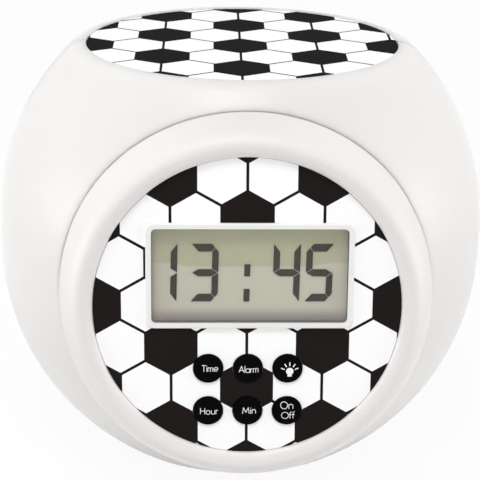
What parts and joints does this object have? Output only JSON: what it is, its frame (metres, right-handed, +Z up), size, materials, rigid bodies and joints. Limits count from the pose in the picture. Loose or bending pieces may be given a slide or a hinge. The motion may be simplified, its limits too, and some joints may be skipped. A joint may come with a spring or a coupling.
{
  "type": "projection alarm clock",
  "caption": "Ball-shaped alarm clock with a round hexagon-patterned face, digital display, domed buttons and a printed light-projection disc on top.",
  "frame": {"origin": "on the surface that the four feet stand on, on the ball's upright axis; the middle of the overall box is less than 1 mm from it", "axes": "+Z up; -Y is the way the clock face looks; +X is to the right of a person who looks at the face"},
  "size_m": [0.12, 0.1225, 0.1023],
  "materials": {
    "casing": "satin white moulding, slightly translucent",
    "bezel": "satin off-white moulding",
    "face_print": "black and white hexagons printed on a thin sheet, semi-gloss",
    "disc_print": "black and white hexagons printed on a thin sheet, semi-gloss",
    "lcd_frame": "smooth off-white, slightly translucent",
    "clear_plastic": "clear moulding",
    "lcd_glass": "polariser-coated display glass",
    "reflector": "grey-green reflective film",
    "white_plastic": "matt white moulding",
    "dark_plastic": "matt black inside, keeps the light in",
    "zebra_rubber": "layered elastomer connector",
    "silicone": "soft silicone rubber",
    "button_plastic": "polished black with white printed legends",
    "circuit_board": "green solder mask on glass-fibre board",
    "epoxy": "black epoxy blob over the chip",
    "can_metal": "drawn metal can",
    "led_lens": "clear epoxy",
    "sounder_brass": "thin brass disc with a ceramic layer",
    "cell_jacket": "plain printed sleeve over a steel can",
    "contacts": "nickel-plated spring steel",
    "screws": "zinc-plated, cross recess",
    "foot_rubber": "light grey rubber pad",
    "lead_insulation": "soft plastic insulation"
  },
  "bodies": {
    "casing": {"front_shell": "casing", "rear_shell": "casing", "face_bezel": "bezel", "face_print": "face_print", "bezel_screws": "screws", "lcd_frame": "lcd_frame", "lcd_window": "clear_plastic", "lcd_glass": "lcd_glass", "lcd_reflector": "reflector", "lcd_holder": "white_plastic", "zebra_strip": "zebra_rubber", "keypad_mat": "silicone", "clock_board": "circuit_board", "board_screws": "screws", "clock_chip": "epoxy", "crystal": "can_metal", "capacitor": "can_metal", "disc_print": "disc_print", "projection_disc": "clear_plastic", "light_cone": "dark_plastic", "lamp_board": "circuit_board", "projection_led": "led_lens", "night_leds": "led_lens", "lamp_board_screws": "screws", "sounder": "sounder_brass", "battery_box": "white_plastic", "battery_1": "cell_jacket", "battery_2": "cell_jacket", "battery_3": "cell_jacket", "contact_plates": "contacts", "contact_springs": "contacts", "battery_box_screws": "screws", "casing_screws": "screws", "foot_front_left": "foot_rubber", "foot_front_right": "foot_rubber", "foot_rear_left": "foot_rubber", "foot_rear_right": "foot_rubber", "battery_leads": "lead_insulation", "lamp_leads": "lead_insulation", "sounder_leads": "lead_insulation"},
    "time_key_body": {"time_button": "button_plastic", "time_key": "silicone"},
    "alarm_key_body": {"alarm_button": "button_plastic", "alarm_key": "silicone"},
    "light_key_body": {"light_button": "button_plastic", "light_key": "silicone"},
    "hour_key_body": {"hour_button": "button_plastic", "hour_key": "silicone"},
    "minute_key_body": {"minute_button": "button_plastic", "minute_key": "silicone"},
    "on_off_key_body": {"on_off_button": "button_plastic", "on_off_key": "silicone"},
    "door_body": {"battery_door": "casing"},
    "door_screw_body": {"door_screw": "screws"}
  },
  "joints": [
    {"name": "time_press", "type": "slide", "parent": "casing", "child": "time_key_body", "axis": [0, 0.9976, -0.0698], "range_m": [0, 0.0008], "stiffness_N_per_m": 200, "springref_m": -0.002},
    {"name": "alarm_press", "type": "slide", "parent": "casing", "child": "alarm_key_body", "axis": [0, 0.9976, -0.0698], "range_m": [0, 0.0008], "stiffness_N_per_m": 200, "springref_m": -0.002},
    {"name": "light_press", "type": "slide", "parent": "casing", "child": "light_key_body", "axis": [0, 0.9976, -0.0698], "range_m": [0, 0.0008], "stiffness_N_per_m": 200, "springref_m": -0.002},
    {"name": "hour_press", "type": "slide", "parent": "casing", "child": "hour_key_body", "axis": [0, 0.9976, -0.0698], "range_m": [0, 0.0008], "stiffness_N_per_m": 200, "springref_m": -0.002},
    {"name": "minute_press", "type": "slide", "parent": "casing", "child": "minute_key_body", "axis": [0, 0.9976, -0.0698], "range_m": [0, 0.0008], "stiffness_N_per_m": 200, "springref_m": -0.002},
    {"name": "on_off_press", "type": "slide", "parent": "casing", "child": "on_off_key_body", "axis": [0, 0.9976, -0.0698], "range_m": [0, 0.0008], "stiffness_N_per_m": 200, "springref_m": -0.002},
    {"name": "door_lift_off", "type": "slide", "parent": "casing", "child": "door_body", "axis": [0, 1, 0], "range_m": [0, 0.015]},
    {"name": "door_screw_turn", "type": "hinge", "parent": "door_body", "child": "door_screw_body", "pos_m": [0, 0.0537, 0.0825], "axis": [0, 1, 0], "continuous": true}
  ]
}
